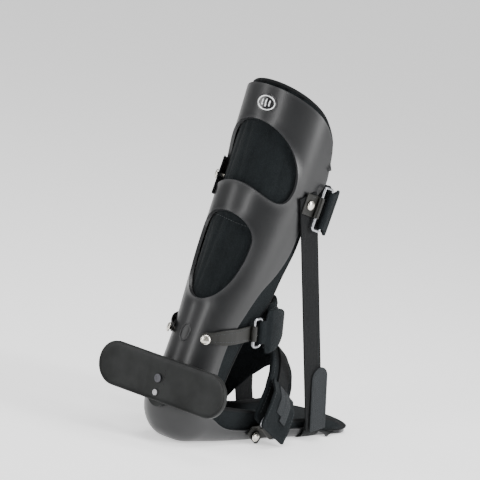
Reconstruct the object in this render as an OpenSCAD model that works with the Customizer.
// Ankle foot orthosis for a right leg: a moulded rear shell with two windows, a calf liner and
// a foot liner, calf, ankle and instep straps closed through rings, a tension strap down each
// side, a stirrup strap under the foot plate, and a stabiliser bar behind the heel.
// Millimetres. The origin is on the sole under the middle of the heel cup. +X points to the
// toes, +Y to the wearer's left, which is the inner side of this leg, and +Z up the leg.
// The shell is drawn on its flat pattern: s runs along the rear centreline, from 0 under the
// heel to the cuff, and to minus the plate length at the toe; q runs round it, 0 on the centreline.

/* [Shell] */
// Foot plate length in front of the heel cup's middle
plate_length = 240; // [205:1:285]
// Height of the cuff's top edge at the rear
shell_height = 362; // [310:1:430]
// Forward lean of the calf part from upright, in degrees
calf_lean = 15.6; // [10:0.1:20]
// Thickness of the moulded wall
wall = 3.5; // [3:0.1:4.2]
// Outer radius of the heel, seen from the side
heel_radius = 34; // [31:0.5:39]
// Half of the outer width at the toes
toe_half = 43; // [38:0.5:50]
// Half of the outer width at the ball of the foot
forefoot_half = 45; // [40:0.5:52]
// Half of the outer width at the heel
heel_half = 36; // [32:0.5:42]
// Half of the outer width at the ankle
ankle_half = 34.5; // [31:0.5:40]
// Half of the outer width at the calf strap
calf_half = 50; // [44:0.5:58]
// Half of the outer width at the cuff
cuff_half = 53; // [46:0.5:62]
// How far the cuff's top edge drops from the rear to the front
cuff_drop = 56; // [40:1:70]
// Height of the foot plate's side walls
plate_wall = 12; // [10:0.5:16]

/* [Windows] */
// Half of the upper window's width, measured round the shell
upper_window_half = 61; // [45:1:66]
// Upper window's height above its widest level
upper_window_rise = 54; // [40:1:58]
// Half of the lower window's width, measured round the shell
lower_window_half = 36.5; // [25:0.5:40]
// Lower window's height below its widest level
lower_window_fall = 67; // [50:1:70]

/* [Liners and pads] */
// Thickness of the calf liner and the foot liner
liner_thick = 5; // [3:0.5:6.5]
// Gap between the shell and what lies on it
seat_gap = 0.4; // [0.3:0.1:0.8]
// Thickness of the strap pads
pad_thick = 5; // [3:0.5:6]

/* [Straps and rings] */
// Width of the calf strap
calf_strap_width = 40; // [30:1:44]
// Width of the ankle strap
ankle_strap_width = 25; // [20:1:30]
// Width of the instep strap
instep_strap_width = 25; // [20:1:28]
// Width of the tension straps and of the stirrup strap
tension_width = 25; // [20:1:28]
// Thickness of the strap webbing
webbing = 1.6; // [1.2:0.1:1.8]
// Diameter of the ring wire
ring_wire = 3; // [2.4:0.1:3.2]
// Diameter of the rivet heads
rivet_head = 10; // [8:0.5:11]
// Diameter of the rivet shanks
rivet_shank = 4; // [3:0.5:5]

/* [Stabiliser bar] */
// Length of the bar
bar_length = 170; // [130:1:200]
// Height of the bar
bar_height = 45; // [40:1:48]
// Height of the bar's pivot above the sole
bar_level = 64.5; // [62:0.5:72]
// Thickness of the bar's plate
bar_plate_thick = 2.8; // [2.4:0.1:4.5]
// Height of the rim round the bar's face
bar_rim = 2.5; // [1.5:0.1:4]
// Distance between the pivot screw and the lock screw
lock_radius = 14.5; // [13:0.5:16]
// Angle that the bar turns to each side, in degrees
bar_turn = 20; // [10:1:24]

/* [Hidden] */

shell_colour = [0.2, 0.2, 0.21];
liner_colour = [0.09, 0.1, 0.11];
web_colour = [0.12, 0.13, 0.14];
tab_colour = [0.16, 0.16, 0.14];
hook_colour = [0.24, 0.26, 0.27];
metal_colour = [0.78, 0.77, 0.74];

// ---- Rear centreline ----
heel_lean = 27;
heel_flat = 3;
achilles_radius = 200;
heel_arc_end = heel_flat + heel_radius * (90 + heel_lean) * PI / 180;
achilles_end = heel_arc_end + achilles_radius * (heel_lean - calf_lean) * PI / 180;
heel_top = [-heel_flat - heel_radius * cos(heel_lean), heel_radius * (1 + sin(heel_lean))];
calf_start = heel_top + achilles_radius * [cos(calf_lean) - cos(heel_lean), sin(heel_lean) - sin(calf_lean)];
bend_radius = 1300;
bend_start = achilles_end + 170;
bend_point = calf_start + 170 * [sin(calf_lean), cos(calf_lean)];
cuff_lean = asin(sin(calf_lean) - (shell_height - bend_point[1]) / bend_radius);
cuff_s = bend_start + bend_radius * (calf_lean - cuff_lean) * PI / 180;
toe_s = -plate_length;
ankle_s = 138;
function on_leg(part) = ankle_s + part * (cuff_s - ankle_s);
function on_foot(part) = part * toe_s;

// The rows of the pattern turn from upright under the foot to square with the calf
turn_start = -40;
turn_end = 110;

function clamp01(t) = max(0, min(1, t));
function smooth(t) = let (c = clamp01(t)) c * c * (3 - 2 * c);
function mix(a, b, t) = a + (b - a) * t;
function flatten(lists) = [for (list = lists) each list];

// A smooth curve through stations of [position, value]
function station_before(t, x, i = 0) = i >= len(t) - 2 || x < t[i + 1][0] ? i : station_before(t, x, i + 1);
function rise(t, i, j) = (t[j][1] - t[i][1]) / (t[j][0] - t[i][0]);
function slope(t, i) = rise(t, max(i - 1, 0), min(i + 1, len(t) - 1));
function through(t, x) =
    let (i = station_before(t, x), h = t[i + 1][0] - t[i][0], u = clamp01((x - t[i][0]) / h))
    (2 * u ^ 3 - 3 * u ^ 2 + 1) * t[i][1] + (u ^ 3 - 2 * u ^ 2 + u) * h * slope(t, i)
    + (3 * u ^ 2 - 2 * u ^ 3) * t[i + 1][1] + (u ^ 3 - u ^ 2) * h * slope(t, i + 1);

function spine(s) =
    s < heel_flat ? [-s, 0]
    : s < heel_arc_end ? let (a = (s - heel_flat) / heel_radius * 180 / PI)
        [-heel_flat - heel_radius * sin(a), heel_radius * (1 - cos(a))]
    : s < achilles_end ? let (t = heel_lean - (s - heel_arc_end) / achilles_radius * 180 / PI)
        heel_top + achilles_radius * [cos(t) - cos(heel_lean), sin(heel_lean) - sin(t)]
    : s < bend_start ? calf_start + (s - achilles_end) * [sin(calf_lean), cos(calf_lean)]
    : let (t = calf_lean - (s - bend_start) / bend_radius * 180 / PI)
        bend_point + bend_radius * [cos(t) - cos(calf_lean), sin(calf_lean) - sin(t)];
function row_angle(s) = 90 - (90 + calf_lean) * smooth((s - turn_start) / (turn_end - turn_start));

// ---- Sections: half width, how much of it the corner takes, corner depth, depth to the trim ----
half_widths = [[toe_s, toe_half], [on_foot(0.8), forefoot_half],
    [on_foot(0.45), mix(heel_half, forefoot_half, 0.55)], [on_foot(0.2), mix(heel_half, forefoot_half, 0.15)],
    [0, heel_half], [60, heel_half - 0.5], [ankle_s, ankle_half],
    [on_leg(0.23), mix(ankle_half, calf_half, 0.52)], [on_leg(0.56), calf_half - 0.5],
    [on_leg(0.79), mix(calf_half, cuff_half, 0.7)], [cuff_s, cuff_half]];
corner_shares = [[toe_s, 0.14], [on_foot(0.66), 0.24], [on_foot(0.45), 0.32], [-40, 0.48],
    [0, 0.75], [40, 1], [60, 1], [cuff_s, 1]];
corner_depths = [[toe_s, 6], [on_foot(0.66), plate_wall - 1], [on_foot(0.45), plate_wall],
    [-40, 15], [0, 24], [25, 30], [50, 32], [100, 32.5], [ankle_s, ankle_half],
    [on_leg(0.23), mix(ankle_half, calf_half, 0.52)],
    [on_leg(0.56), calf_half], [cuff_s, cuff_half]];
trim_depths = [[toe_s, 2], [on_foot(0.77), 2.4], [on_foot(0.68), plate_wall - 4],
    [on_foot(0.6), plate_wall - 1], [on_foot(0.325), plate_wall + 1], [-43, 15], [-25, 19], [0, 30],
    [25, 38], [50, 40], [73, 34], [100, 29.5], [ankle_s, 29], [on_leg(0.11), 33], [on_leg(0.23), 40],
    [on_leg(0.32), 52], [on_leg(0.41), 59],
    [on_leg(0.51), 59], [on_leg(0.62), 60], [on_leg(0.71), 71], [on_leg(0.79), 68], [cuff_s, 67]];

function half_width(s) = through(half_widths, s);
function corner_across(s) = half_width(s) * through(corner_shares, s);
function corner_depth(s) = through(corner_depths, s);
function flat_half(s) = half_width(s) - corner_across(s);
function corner_length(s) = PI / 4 * (corner_across(s) + corner_depth(s));

// Point of the outer surface, and the direction that points out of the shell there
function outer(s, q) =
    let (p = spine(s), a = row_angle(s), side = abs(q), f = flat_half(s), c = corner_length(s),
        t = clamp01((side - f) / c) * 90,
        y = side < f ? side : f + corner_across(s) * sin(t),
        d = side < f ? 0 : corner_depth(s) * (1 - cos(t)) + max(0, side - f - c))
    [p[0] + d * cos(a), sign(q) * y, p[1] + d * sin(a)];
function unit(v) = v / norm(v);
function outward(s, q) =
    unit(cross(outer(s + 0.5, q) - outer(s - 0.5, q), outer(s, q + 0.5) - outer(s, q - 0.5)));
function skin(s, q, proud) = outer(s, q) + proud * outward(s, q);
// Distance round the shell at which a row reaches a depth from the centreline
function round_to(s, depth) =
    let (b = corner_depth(s))
    depth < b ? flat_half(s) + corner_length(s) * acos(1 - depth / b) / 90
    : flat_half(s) + corner_length(s) + depth - b;

// Rows bend near the cuff and the toe, so that the edges there are rounded
function row_s(s, v) =
    let (side = min(1, abs(v)), up = smooth((s - on_leg(0.33)) / (cuff_s - on_leg(0.33))),
        down = smooth((on_foot(0.7) - s) / (on_foot(0.7) - toe_s)))
    s - cuff_drop * up * (1 - sqrt(1 - side ^ 2.1))
    + (forefoot_half + 5) * down * (1 - sqrt(1 - side ^ 2.2));

// ---- Closed solids on the pattern ----
module closed_slab(top, bottom) {
    rows = len(top);
    cols = len(top[0]);
    function at(k, i, j) = (k * rows + i) * cols + j;
    polyhedron(points = concat(flatten(top), flatten(bottom)), faces = concat(
        [for (i = [0 : rows - 2], j = [0 : cols - 2]) each
            [[at(0, i, j), at(0, i, j + 1), at(0, i + 1, j + 1)],
            [at(0, i, j), at(0, i + 1, j + 1), at(0, i + 1, j)],
            [at(1, i, j), at(1, i + 1, j + 1), at(1, i, j + 1)],
            [at(1, i, j), at(1, i + 1, j), at(1, i + 1, j + 1)]]],
        [for (i = [0 : rows - 2]) each
            [[at(0, i, 0), at(0, i + 1, 0), at(1, i + 1, 0)], [at(0, i, 0), at(1, i + 1, 0), at(1, i, 0)],
            [at(0, i, cols - 1), at(1, i + 1, cols - 1), at(0, i + 1, cols - 1)],
            [at(0, i, cols - 1), at(1, i, cols - 1), at(1, i + 1, cols - 1)]]],
        [for (j = [0 : cols - 2]) each
            [[at(0, 0, j), at(1, 0, j + 1), at(0, 0, j + 1)], [at(0, 0, j), at(1, 0, j), at(1, 0, j + 1)],
            [at(0, rows - 1, j), at(0, rows - 1, j + 1), at(1, rows - 1, j + 1)],
            [at(0, rows - 1, j), at(1, rows - 1, j + 1), at(1, rows - 1, j)]]]));
}

// A sheet on the pattern between two rows, out to a depth, with its faces proud by lo and hi
module pattern_sheet(row_list, columns, depths, lo, hi) {
    function place(s, v, proud) =
        let (e = row_s(s, 1), here = row_s(s, v)) skin(here, v * round_to(e, through(depths, e)), proud);
    closed_slab([for (s = row_list) [for (j = [-columns : columns]) place(s, j / columns, hi)]],
        [for (s = row_list) [for (j = [-columns : columns]) place(s, j / columns, lo)]]);
}

// A disc on the pattern: an outline of [s, q] points round its middle
module pattern_disc(middle, outline, rings, lo, hi) {
    n = len(outline);
    function ring(proud) = concat([skin(middle[0], middle[1], proud)], [for (k = [1 : rings]) each
        [for (p = outline) let (m = mix(middle, p, k / rings)) skin(m[0], m[1], proud)]]);
    base = 1 + n * rings;
    function at(k, i) = 1 + (k - 1) * n + i % n;
    polyhedron(points = concat(ring(hi), ring(lo)), faces = concat(
        [for (i = [0 : n - 1]) each
            [[0, at(1, i), at(1, i + 1)], [base, base + at(1, i + 1), base + at(1, i)]]],
        [for (k = [1 : 1 : rings - 1], i = [0 : n - 1]) each
            [[at(k, i), at(k + 1, i), at(k + 1, i + 1)], [at(k, i), at(k + 1, i + 1), at(k, i + 1)],
            [base + at(k, i), base + at(k + 1, i + 1), base + at(k + 1, i)],
            [base + at(k, i), base + at(k, i + 1), base + at(k + 1, i + 1)]]],
        [for (i = [0 : n - 1]) each
            [[at(rings, i), base + at(rings, i), base + at(rings, i + 1)],
            [at(rings, i), base + at(rings, i + 1), at(rings, i + 1)]]]));
}

// An oval hoop on the pattern, of a square wire
module pattern_hoop(middle, half_s, half_q, wire, lo, hi, n = 48) {
    function loop(grow, proud) =
        [for (p = oval(middle, half_s + grow, half_q + grow, n)) skin(p[0], p[1], proud)];
    loops = [loop(0, hi), loop(0, lo), loop(-wire, lo), loop(-wire, hi)];
    polyhedron(points = flatten(loops), faces = [for (k = [0 : 3], i = [0 : n - 1])
        let (next = (k + 1) % 4 * n, j = (i + 1) % n, a = k * n + i, b = k * n + j, c = next + j, d = next + i)
        each [[a, c, b], [a, d, c]]]);
}

// Stands its children on the shell, their +Z pointing out of it
module on_shell(s, q, proud = 0) {
    n = outward(s, q);
    translate(skin(s, q, proud)) rotate([0, acos(n[2]), atan2(n[1], n[0])]) children();
}

function oval(middle, half_s, half_q, n = 40) =
    [for (i = [0 : n - 1]) middle + [half_s * cos(360 * i / n), -half_q * sin(360 * i / n)]];

// ---- Windows ----
upper_window_s = on_leg(0.654);
lower_window_s = on_leg(0.395);
upper_dip = 11;
lower_window_rise = 25;
function upper_window(n = 56) = [for (i = [0 : n - 1])
    let (t = 360 * i / n, up = cos(t), side = sin(t))
    [upper_window_s + (up > 0 ? upper_window_rise * up ^ 1.12 : upper_dip * up * (1 + 3.2 * side ^ 2)),
        -upper_window_half * side]];
function lower_window(n = 48) = [for (i = [0 : n - 1])
    let (t = 360 * i / n, up = cos(t))
    [lower_window_s + (up > 0 ? lower_window_rise : lower_window_fall) * up, -lower_window_half * sin(t)]];

// ---- Places of the fittings ----
calf_plane_s = on_leg(0.615);
calf_rivet_q = 83;
rear_rivet_q = 42;
ankle_rivet_s = ankle_s - 1.5;
ankle_rivet_q = 23.5;
badge_middle = [cuff_s - 18, -5];
mark_middle = [ankle_s - 1, 0];
instep_rivet_x = 72;
instep_rivet_z = 7.5;
rivet_cap = 2.6;
tail_thick = 0.8;
tail_radius = 3.6;
tail_room = 0.3;
flare_room = 0.5;
hole_room = 0.15;
calf_side = half_width(calf_plane_s);
calf_rivet_at = outer(calf_plane_s, -calf_rivet_q);
tab_thick = 1.5;
upper_stand = seat_gap + flare_room + webbing + 0.3;
upper_grip = upper_stand + tab_thick + 0.3;

// ---- Shell ----
foot_rows = [for (k = [0 : 20]) toe_s + k / 20 * (-22 - toe_s)];
heel_rows = [for (k = [0 : 21]) -16 + k * 6];
leg_rows = [for (k = [1 : 26]) 110 + k / 26 * (cuff_s - 110)];

module shell_skin(lo, hi) {
    pattern_sheet(concat(foot_rows, heel_rows, leg_rows), 11, trim_depths, lo, hi);
}

module shell() {
    color(shell_colour) resize([0, 0, 0]) difference() {
        union() {
            shell_skin(-wall, 0);
            pattern_hoop(mark_middle, 8.5, 5.5, 1.4, -1, 0.9, 32);
        }
        pattern_disc([upper_window_s + 12, 0], upper_window(), 6, -wall - 4, 4);
        pattern_disc([lower_window_s - 10, 0], lower_window(), 4, -wall - 4, 4);
        rivet_holes(rivet_shank / 2 + hole_room);
        instep_pockets();
        stirrup_groove();
        bracket_holes();
    }
}

module rivet_holes(radius) {
    for (side = [-1, 1]) {
        on_shell(calf_plane_s, side * calf_rivet_q) cylinder(h = 30, r = radius, center = true, $fn = 24);
        on_shell(ankle_rivet_s, side * ankle_rivet_q) cylinder(h = 20, r = radius, center = true, $fn = 24);
        translate([instep_rivet_x, side * half_width(-instep_rivet_x), instep_rivet_z]) rotate([90, 0, 0])
            cylinder(h = 20, r = radius, center = true, $fn = 24);
    }
    on_shell(calf_plane_s, rear_rivet_q) cylinder(h = 20, r = radius, center = true, $fn = 24);
}

// Pieces that a rivet holds
module riveted() {
    difference() {
        children();
        rivet_holes(rivet_shank / 2 + hole_room);
    }
}

// Room in the liners for the rivet tails
module tail_pockets() {
    rivet_holes(tail_radius + 0.5);
}

// The instep rivets' tails sit in pockets, because the wall curves there
module instep_pockets() {
    for (side = [-1, 1]) translate([instep_rivet_x, side * half_width(-instep_rivet_x), instep_rivet_z])
        rotate([-90 * side, 0, 0]) translate([0, 0, -wall - tail_room - 7.9])
            cylinder(h = 8, r = tail_radius + hole_room, $fn = 32);
}

// ---- Liners ----
calf_wing = [[60, 44], [100, 48], [ankle_s + 5, 54], [on_leg(0.19), 64], [on_leg(0.32), 66],
    [on_leg(0.44), 69], [on_leg(0.55), 66], [on_leg(0.63), 64], [on_leg(0.72), 73], [on_leg(0.81), 71],
    [cuff_s + 5, 70]];
foot_tray = [[toe_s, 15], [on_foot(0.75), 17], [on_foot(0.5), 18], [on_foot(0.42), 21], [on_foot(0.33), 28],
    [-50, 33], [-20, 37], [10, 40], [40, 42], [60, 43]];
liner_split = 56;
liner_out = -wall - seat_gap;

module calf_liner() {
    color(liner_colour) resize([0, 0, 0]) difference() {
        pattern_sheet([for (k = [0 : 34]) liner_split + 0.5 + k / 34 * (cuff_s + 3.5 - liner_split)], 9,
            calf_wing, liner_out - liner_thick, liner_out);
        tail_pockets();
        bracket_room();
    }
}

module foot_liner() {
    color(liner_colour) resize([0, 0, 0]) difference() {
        pattern_sheet(concat([for (k = [0 : 14]) toe_s + 12 + k / 14 * (-24 - toe_s - 12)],
            [for (k = [0 : 10]) -16 + k / 10 * (liner_split - 0.3 + 16)]), 8,
            foot_tray, liner_out - liner_thick, liner_out);
        tail_pockets();
        bracket_room();
    }
}

// ---- Badge ----
module badge() {
    color([0.05, 0.05, 0.06]) pattern_disc(badge_middle, oval(badge_middle, 9.5, 12.5), 4, 0.05, 1);
}

module badge_emblem() {
    color(metal_colour) {
        pattern_hoop(badge_middle, 7.6, 10.4, 0.9, 1.03, 1.35);
        for (q = [-4.4, 0, 4.4])
            pattern_disc(badge_middle + [0, q], oval(badge_middle + [0, q], 4.6 - abs(q) / 3, 1.2, 20), 2,
                1.03, 1.35);
    }
}

// ---- Rivets ----
module rivet(grip) {
    color(metal_colour) rotate_extrude($fn = 48) {
        translate([0, grip]) intersection() {
            translate([0, rivet_cap - 8]) circle(r = 8, $fn = 96);
            square([rivet_head / 2, rivet_cap]);
        }
        translate([0, -wall - tail_room]) square([rivet_shank / 2, grip + wall + tail_room + 0.1]);
        translate([0, -wall - tail_room - tail_thick]) square([tail_radius, tail_thick]);
    }
}

module upper_rivets() {
    for (side = [-1, 1]) on_shell(calf_plane_s, side * calf_rivet_q) rivet(upper_grip);
}

module calf_rear_rivet() {
    on_shell(calf_plane_s, rear_rivet_q) rivet(calf_rear_stand + webbing + 0.6);
}

module ankle_rivets() {
    for (side = [-1, 1]) on_shell(ankle_rivet_s, side * ankle_rivet_q) rivet(ankle_stand + tab_thick + 0.7);
}

module instep_rivets() {
    for (side = [-1, 1]) translate([instep_rivet_x, side * half_width(-instep_rivet_x), instep_rivet_z])
        rotate([-90 * side, 0, 0]) rivet(instep_stand + webbing + 0.9);
}

// ---- Straps: bands drawn in a plane that crosses the limb, then given their width ----
module in_plane(origin, tilt) {
    translate(origin) rotate([0, tilt, 0]) children();
}

function heading(path, i) = unit(path[min(i + 1, len(path) - 1)] - path[max(i - 1, 0)]);
function beside(path, off) =
    [for (i = [0 : len(path) - 1]) let (h = heading(path, i)) path[i] + off * [h[1], -h[0]]];
function reverse(list) = [for (i = [len(list) - 1 : -1 : 0]) list[i]];
// A band from off lo to off hi on the outer side of a path that runs from the right side to the left
module band(path, lo, hi, width) {
    linear_extrude(width, center = true) polygon(concat(beside(path, lo), reverse(beside(path, hi))));
}

function ellipse_arc(middle, a, b, from, to, n) =
    [for (k = [0 : n]) let (t = mix(from, to, k / n)) [middle + a * cos(t), b * sin(t)]];

// A rectangular wire ring between two bars, and a loop of tab round a bar
module wire_ring(inner_bar, outer_bar, inside) {
    reach = inside / 2 + ring_wire / 2;
    across = outer_bar - inner_bar;
    for (p = [inner_bar, outer_bar]) {
        translate([p[0], p[1], -reach]) cylinder(h = 2 * reach, d = ring_wire, $fn = 32);
        for (z = [-reach, reach]) translate([p[0], p[1], z]) sphere(d = ring_wire, $fn = 32);
    }
    for (z = [-reach, reach]) translate([inner_bar[0], inner_bar[1], z])
        rotate([0, 90, atan2(across[1], across[0])]) cylinder(h = norm(across), d = ring_wire, $fn = 32);
}

loop_room = 0.3;
module loop_round(bar, thick, width) {
    translate([bar[0], bar[1], -width / 2]) difference() {
        cylinder(h = width, r = ring_wire / 2 + loop_room + thick, $fn = 40);
        translate([0, 0, -1]) cylinder(h = width + 2, r = ring_wire / 2 + loop_room, $fn = 40);
    }
}

module clear_of_bar(bar) {
    difference() {
        children();
        translate([bar[0], bar[1], -60]) cylinder(h = 120, r = ring_wire / 2 + loop_room, $fn = 40);
    }
}

// Offset of a loop's middle from the bar it goes round
loop_out = ring_wire / 2 + loop_room;

// Outline of a hook tab seen from its side: it widens in front of its ring, then narrows to a tail
module tab_outline(bar_u, narrow, wide, reach, tail) {
    side = [for (t = [0 : 9 : 90]) [bar_u + 7 + reach * sin(t), max(tail, wide * cos(t) ^ 0.8)]];
    edge = concat([[bar_u - 5, narrow], [bar_u + 3.8, narrow], [bar_u + 5, wide - 2.5]], side,
        tail > 0 ? [[bar_u + 2 * reach, tail]] : []);
    rotate([90, 0, 0]) linear_extrude(200, center = true)
        polygon(concat(edge, [for (p = reverse(edge)) [p[0], -p[1]]]));
}

// ---- Calf closure, in a plane square with the calf ----
calf_origin = [spine(calf_plane_s)[0], 0, spine(calf_plane_s)[1]];
calf_depth = corner_depth(calf_plane_s);
calf_rivet_u = calf_depth + calf_rivet_q - corner_length(calf_plane_s) - flat_half(calf_plane_s);
calf_front = 101;
calf_bar_side = calf_side + upper_stand + loop_out + tab_thick;
calf_inner_bar = [66, -calf_bar_side];
calf_outer_bar = [78, -calf_bar_side];
calf_reach = calf_front - calf_outer_bar[0];
calf_strap_side = calf_bar_side - loop_out - webbing / 2;
calf_rear_stand = 0.9;
calf_rear_side = calf_side + calf_rear_stand + webbing / 2 + 0.2;
calf_path = concat(
    ellipse_arc(calf_outer_bar[0], calf_reach, calf_strap_side, -84, 90, 30),
    [[mix(calf_outer_bar[0], calf_depth, 0.5), calf_strap_side + 0.1]],
    [for (k = [0 : 8]) let (t = 90 - k * 5.6, r = k < 2 ? calf_strap_side + 0.65 * k
        : mix(calf_strap_side + 1.3, calf_rear_side, smooth((k - 2) / 5)))
        [calf_depth - (calf_depth + r - calf_side) * cos(t), r * sin(t)]]);

module calf_chafe_tab() {
    back = calf_rivet_u - 8;
    color(tab_colour) riveted() in_plane(calf_origin, calf_lean) clear_of_bar(calf_inner_bar) union() {
        translate([back, -calf_side - upper_stand - tab_thick, -11])
            cube([calf_inner_bar[0] - back, tab_thick, 22]);
        loop_round(calf_inner_bar, tab_thick, 22);
    }
}

module calf_ring() {
    color(metal_colour) in_plane(calf_origin, calf_lean)
        wire_ring(calf_inner_bar, calf_outer_bar, calf_strap_width + 1);
}

module calf_strap() {
    color(web_colour) riveted() in_plane(calf_origin, calf_lean)
        band(calf_path, -webbing / 2, webbing / 2, calf_strap_width);
}

module calf_pad() {
    path = ellipse_arc(calf_outer_bar[0], calf_reach, calf_strap_side, -70, 70, 24);
    color(liner_colour) in_plane(calf_origin, calf_lean)
        band(path, -webbing / 2 - 0.4 - pad_thick, -webbing / 2 - 0.4, calf_strap_width + 12);
}

module calf_hook_tab() {
    path = ellipse_arc(calf_outer_bar[0], calf_reach + 3,
        calf_bar_side + loop_out + webbing / 2, -90, -24, 16);
    color(hook_colour) in_plane(calf_origin, calf_lean) clear_of_bar(calf_outer_bar) union() {
        intersection() {
            band(path, -webbing / 2, webbing / 2, calf_strap_width + 20);
            tab_outline(calf_outer_bar[0], calf_strap_width / 2 - 1, calf_strap_width / 2 + 6.5, 17, 0);
        }
        loop_round(calf_outer_bar, webbing, calf_strap_width - 2);
    }
}

// ---- Ankle closure, in a plane that rises a little to the front ----
ankle_origin = [spine(ankle_rivet_s)[0], 0, spine(ankle_rivet_s)[1]];
ankle_rise = 5.7;
ankle_front = 124;
ankle_stand = 2.4;
ankle_tilt_stretch = 1 / cos(calf_lean + ankle_rise);
ankle_bar_side = ankle_half + 5;
ankle_inner_bar = [59, -ankle_bar_side];
ankle_outer_bar = [69, -ankle_bar_side];
ankle_reach = ankle_front - ankle_outer_bar[0];
ankle_tab_side = ankle_half + ankle_stand + tab_thick / 2;
ankle_strap_side = ankle_bar_side - loop_out - webbing / 2;
ankle_depth = ankle_half * ankle_tilt_stretch;
ankle_tab_path = concat(
    [for (t = [32 : 9 : 86])
        [ankle_depth - (ankle_depth + ankle_stand + tab_thick / 2) * cos(t), -ankle_tab_side * sin(t)]],
    [[ankle_inner_bar[0], -ankle_bar_side + loop_out + tab_thick / 2]]);

// The ankle tabs narrow towards their rivets
module tapered() {
    intersection() {
        children();
        rotate([90, 0, 0]) linear_extrude(200, center = true)
            polygon([[-9, -5.5], [10, -5.5], [26, -8], [90, -8], [90, 8], [26, 8], [10, 5.5], [-9, 5.5]]);
    }
}

module ankle_chafe_tab() {
    color(tab_colour) riveted() in_plane(ankle_origin, -ankle_rise) clear_of_bar(ankle_inner_bar) union() {
        tapered() band(ankle_tab_path, -tab_thick / 2, tab_thick / 2, 16);
        loop_round(ankle_inner_bar, tab_thick, 16);
    }
}

module ankle_tab_left() {
    path = concat([for (p = reverse(ankle_tab_path)) [p[0], -p[1]]]);
    color(tab_colour) riveted() in_plane(ankle_origin, -ankle_rise)
        tapered() band(path, -tab_thick / 2, tab_thick / 2, 16);
}

module ankle_ring() {
    color(metal_colour) in_plane(ankle_origin, -ankle_rise)
        wire_ring(ankle_inner_bar, ankle_outer_bar, ankle_strap_width + 1);
}

module ankle_strap() {
    path = ellipse_arc(ankle_outer_bar[0], ankle_reach, ankle_strap_side + 0.8, -82, 96, 30);
    color(web_colour) in_plane(ankle_origin, -ankle_rise)
        band(path, -webbing / 2, webbing / 2, ankle_strap_width);
}

module ankle_pad() {
    path = ellipse_arc(ankle_outer_bar[0], ankle_reach, ankle_strap_side + 0.8, -72, 72, 24);
    color(liner_colour) in_plane(ankle_origin, -ankle_rise)
        band(path, -webbing / 2 - 0.4 - pad_thick, -webbing / 2 - 0.4, 48);
}

module ankle_hook_tab() {
    half = ankle_strap_width / 2 - 0.5;
    path = ellipse_arc(ankle_outer_bar[0], ankle_reach + 3, ankle_bar_side + loop_out + webbing / 2, -90, -30, 12);
    color(hook_colour) in_plane(ankle_origin, -ankle_rise) clear_of_bar(ankle_outer_bar) union() {
        intersection() {
            band(path, -webbing / 2, webbing / 2, ankle_strap_width + 20);
            tab_outline(ankle_outer_bar[0], half, half + 9.5, 38, half);
        }
        loop_round(ankle_outer_bar, webbing, 2 * half);
    }
}

// ---- Instep closure, in a plane that leans forward over the foot ----
instep_origin = [75, 0, 12];
instep_lean = 52.5;
instep_crest = 95;
instep_side = half_width(-instep_origin[0] - 30) + pad_thick + 2.4;
instep_stand = 0.5;
instep_bar_side = instep_side + loop_out + webbing / 2 + 0.3;
instep_inner_bar = [3.6, -instep_bar_side];
instep_outer_bar = [12.6, -instep_bar_side];
function instep_arch(u) = instep_side * (1 - (u / instep_crest) ^ 1.7) ^ (1 / 1.7);
function instep_place(t) = instep_crest * sin(t);
function instep_path(from, to, n = 16) = concat(
    [for (k = [0 : n]) let (u = instep_place(mix(from, 90, k / n))) [u, -instep_arch(u)]],
    [for (k = [1 : n]) let (u = instep_place(mix(90, to, k / n))) [u, instep_arch(u)]]);

module instep_chafe_tab() {
    wall_side = half_width(-instep_rivet_x) + instep_stand;
    path = [[-10, -wall_side - tab_thick / 2], [-0.2, -wall_side - tab_thick / 2],
        [instep_inner_bar[0] - 1.2, -instep_bar_side + loop_out]];
    color(tab_colour) riveted() in_plane(instep_origin, -instep_lean) clear_of_bar(instep_inner_bar) union() {
        band(path, -tab_thick / 2, tab_thick / 2, 21);
        loop_round(instep_inner_bar, tab_thick, 21);
    }
}

module instep_ring() {
    color(metal_colour) in_plane(instep_origin, -instep_lean)
        wire_ring(instep_inner_bar, instep_outer_bar, instep_strap_width + 1);
}

module instep_strap() {
    wall_side = half_width(-instep_rivet_x) + instep_stand + webbing / 2;
    path = concat(instep_path(15.5, 8), [[5, instep_side - 1.2], [-0.2, wall_side], [-10, wall_side]]);
    color(web_colour) riveted() in_plane(instep_origin, -instep_lean)
        band(path, -webbing / 2, webbing / 2, instep_strap_width - 4);
}

module instep_pad() {
    color(liner_colour) in_plane(instep_origin, -instep_lean)
        band(instep_path(5, 11), -webbing / 2 - 0.4 - pad_thick, -webbing / 2 - 0.4, 46);
}

// The strap's end, folded back through the ring
module instep_hook_tab() {
    start = instep_outer_bar[0];
    path = concat([[start, -instep_bar_side - loop_out - webbing / 2]],
        [for (k = [1 : 6]) let (u = start + k * 4) [u, -instep_arch(u) - mix(5.6, 4.6, k / 6)]]);
    color(hook_colour) in_plane(instep_origin, -instep_lean) clear_of_bar(instep_outer_bar) union() {
        band(path, -webbing / 2, webbing / 2, instep_strap_width - 1);
        loop_round(instep_outer_bar, webbing, instep_strap_width - 1);
    }
}

// A wide flap, sewn on along its top edge, that hangs down over the ring
flap_thick = 2.2;
flap_width = 46;
flap_top = 52;
flap_fold = 38;
function flap_stand(u) = u < flap_fold ? mix(10.2, 8.4, u / flap_fold) + 1.5 * clamp01((10 - u) / 10) ^ 2
    : mix(8.4, 2.4, smooth((u - flap_fold) / (flap_top - flap_fold)));
module instep_flap() {
    path = [for (u = [-4 : 4 : flap_top]) [u, -instep_arch(max(u, 0)) - flap_stand(u)]];
    color(liner_colour) in_plane(instep_origin, -instep_lean) intersection() {
        band(path, -flap_thick / 2, flap_thick / 2, flap_width);
        rotate([90, 0, 0]) linear_extrude(200, center = true)
            polygon([[-1.5, flap_width / 2], [4, -flap_width / 2], [flap_top, -flap_width / 2],
                [flap_top, flap_width / 2]]);
    }
}

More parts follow.
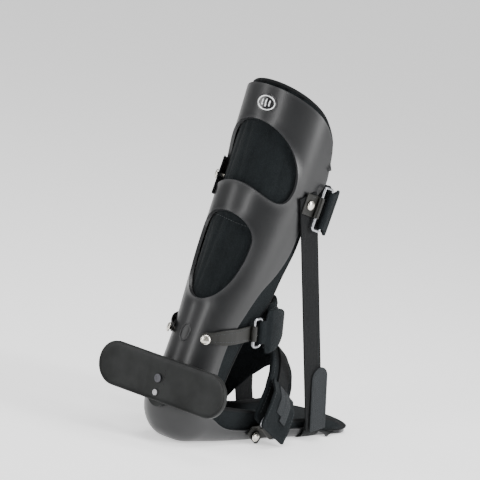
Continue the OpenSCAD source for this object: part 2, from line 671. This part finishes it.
// ---- Tension straps and the stirrup under the foot plate ----
stirrup_x = 154;
stirrup_room = 0.3;
stirrup_side = half_width(-stirrup_x) + 1.9;
stirrup_bend = 10;
tension_top = [calf_rivet_at[0], calf_rivet_at[2]];
tension_run = [stirrup_x, 14] - tension_top;
tension_tilt = atan2(-tension_run[1], tension_run[0]);
tension_long = norm(tension_run);
tension_top_side = calf_side + seat_gap + flare_room + webbing / 2;
tension_foot_side = stirrup_side + webbing + 0.6;

module tension_strap(side) {
    color(web_colour) riveted() in_plane([tension_top[0], 0, tension_top[1]], tension_tilt)
        mirror([0, side < 0 ? 1 : 0, 0]) linear_extrude(tension_width, center = true) polygon(concat(
            [[-9, tension_top_side - webbing / 2], [6, tension_top_side - webbing / 2],
                [tension_long, tension_foot_side - webbing / 2]],
            [[tension_long, tension_foot_side + webbing / 2], [6, tension_top_side + webbing / 2],
                [-9, tension_top_side + webbing / 2]]));
}

module tension_strap_right() {
    tension_strap(-1);
}

module tension_strap_left() {
    tension_strap(1);
}

stirrup_low = webbing / 2 + 0.3;
function stirrup_corner(t) =
    [stirrup_side - stirrup_bend * (1 - cos(t)), stirrup_low + stirrup_bend * (1 - sin(t))];
function stirrup_path() = concat([[-stirrup_side, 17]],
    [for (t = [0 : 10 : 90]) let (p = stirrup_corner(t)) [-p[0], p[1]]],
    [for (t = [90 : -10 : 0]) stirrup_corner(t)], [[stirrup_side, 17]]);

module stirrup_band(lo, hi, width) {
    translate([stirrup_x, 0, 0]) rotate([90, 0, 90]) linear_extrude(width, center = true)
        polygon(concat(beside(stirrup_path(), lo), reverse(beside(stirrup_path(), hi))));
}

module toe_stirrup() {
    color(web_colour) stirrup_band(-webbing / 2, webbing / 2, tension_width);
}

module stirrup_groove() {
    stirrup_band(-webbing / 2 - stirrup_room, webbing / 2 + 4, tension_width + 2 * stirrup_room);
}

hook_tab_long = 67;
hook_tab_lean = 10;
hook_tab_foot = 11;
hook_tab_side = tension_foot_side + webbing + 1.3;

module toe_hook_tab(side) {
    half = tension_width / 2 - 1;
    color(hook_colour) translate([stirrup_x + 3, side * hook_tab_side, hook_tab_foot])
        rotate([0, -hook_tab_lean, 0]) rotate([90, 0, 0]) linear_extrude(webbing, center = true) union() {
            translate([-half, 0]) square([2 * half, hook_tab_long - half - 1]);
            translate([0, hook_tab_long - half - 1]) circle(r = half, $fn = 48);
        }
}

module toe_hook_tab_right() {
    toe_hook_tab(-1);
}

module toe_hook_tab_left() {
    toe_hook_tab(1);
}

// ---- Stabiliser bar behind the heel ----
bar_lean = 5;
bar_gap = 0.4;
bar_offset = -5;
bar_rim_width = 2.2;
pivot_radius = 3;
pivot_head = 4.2;
lock_head = 3;
screw_head_thick = 1.6;
bar_origin = [-heel_flat - heel_radius - 0.6, 0, bar_level];
lock_screw_radius = 2;
lock_slot = lock_screw_radius + 0.4;
nut_half = 3.6;
bracket_half = 14;

module in_bar() {
    translate(bar_origin) rotate([0, bar_lean - 90, 0]) children();
}

// An outline with round ends and straight long edges
module bar_outline(grow) {
    reach = (bar_length - bar_height) / 2;
    hull() for (y = [-reach, reach]) translate([0, bar_offset + y]) circle(r = bar_height / 2 + grow, $fn = 64);
}

// In the bar's frame +X points up, +Y to the left and +Z away from the heel
module stabiliser_bar() {
    color(shell_colour) in_bar() difference() {
        translate([0, 0, bar_gap]) linear_extrude(bar_plate_thick + bar_rim) bar_outline(0);
        translate([0, 0, bar_gap + bar_plate_thick]) linear_extrude(bar_rim + 1) bar_outline(-bar_rim_width);
        translate([0, 0, -1]) cylinder(h = 20, r = pivot_radius + 0.08, $fn = 48);
        translate([-lock_radius, 0, -1]) cylinder(h = 20, r = lock_screw_radius + 0.05, $fn = 48);
    }
}

module bar_pivot_screw() {
    color(metal_colour) in_bar() rotate_extrude($fn = 48) {
        translate([0, -9]) square([pivot_radius, 9 + bar_gap + bar_plate_thick + 0.2]);
        translate([0, bar_gap + bar_plate_thick + 0.2]) square([pivot_head, screw_head_thick]);
    }
}

module bar_lock_screw() {
    color(metal_colour) in_bar() translate([-lock_radius, 0, 0]) rotate_extrude($fn = 48) {
        translate([0, -4.4]) square([lock_screw_radius, 4.4 + bar_gap + bar_plate_thick]);
        translate([0, bar_gap + bar_plate_thick]) square([lock_head, screw_head_thick]);
    }
}

module bar_lock_nut() {
    color(metal_colour) in_bar() translate([-lock_radius, 0, -4.2]) difference() {
        linear_extrude(2) square(2 * nut_half - 0.9, center = true);
        translate([0, 0, -1]) cylinder(h = 4, r = lock_screw_radius + 0.02, $fn = 48);
    }
}

// An arc slot about the pivot, drawn in the bar's frame
module lock_arc(half_slot, extra) {
    rotate([0, 0, 180 - bar_turn - extra]) rotate_extrude(angle = 2 * (bar_turn + extra), $fn = 96)
        translate([lock_radius - half_slot, 0]) square([2 * half_slot, 1]);
}

module bar_bracket() {
    color(shell_colour) resize([0, 0, 0]) difference() {
        in_bar() translate([0, 0, -20]) linear_extrude(20) hull() {
            circle(r = bracket_half, $fn = 48);
            translate([-lock_radius - 1, 0]) circle(r = bracket_half - 1, $fn = 48);
        }
        shell_core();
        in_bar() {
            translate([0, 0, -40]) cylinder(h = 50, r = pivot_radius + 0.1, $fn = 48);
            translate([0, 0, -2]) scale([1, 1, 4]) lock_arc(lock_slot, 10);
            translate([0, 0, -4.8]) scale([1, 1, 3]) lock_arc(nut_half, 16);
            for (p = screw_places) translate([p[0], p[1], -40]) cylinder(h = 50, r = 1.6, $fn = 24);
            for (p = screw_places) translate([p[0], p[1], -2.2]) cylinder(h = 10, r = 3.1, $fn = 24);
        }
    }
}

// Everything inside the heel's outer surface, a little grown
module shell_core() {
    pattern_sheet([for (k = [0 : 18]) 20 + k * 6], 8, [[20, 34], [60, 34], [130, 30]], -22, seat_gap);
}

screw_places = [[5, 9], [5, -9]];

module bracket_screws() {
    color(metal_colour) in_bar() for (p = screw_places) translate([p[0], p[1], 0]) rotate_extrude($fn = 32) {
        translate([0, -22]) square([1.45, 20]);
        translate([0, -2.1]) square([2.9, 1.8]);
    }
}

module bracket_holes() {
    in_bar() {
        translate([0, 0, -60]) cylinder(h = 70, r = pivot_radius + 0.1, $fn = 32);
        for (p = screw_places) translate([p[0], p[1], -60]) cylinder(h = 70, r = 1.6, $fn = 24);
    }
}

// Room in the liner for the ends of the bracket's screws
module bracket_room() {
    in_bar() for (p = concat(screw_places, [[0, 0]]))
        translate([p[0], p[1], -26]) cylinder(h = 30, r = pivot_radius + 1, $fn = 24);
}

shell();
calf_liner();
foot_liner();
badge();
badge_emblem();
bar_bracket();
stabiliser_bar();
bar_pivot_screw();
bar_lock_screw();
bar_lock_nut();
bracket_screws();
upper_rivets();
calf_rear_rivet();
ankle_rivets();
instep_rivets();
calf_chafe_tab();
calf_ring();
calf_strap();
calf_pad();
calf_hook_tab();
ankle_chafe_tab();
ankle_tab_left();
ankle_ring();
ankle_strap();
ankle_pad();
ankle_hook_tab();
instep_chafe_tab();
instep_ring();
instep_strap();
instep_pad();
instep_hook_tab();
instep_flap();
tension_strap_right();
tension_strap_left();
toe_stirrup();
toe_hook_tab_right();
toe_hook_tab_left();
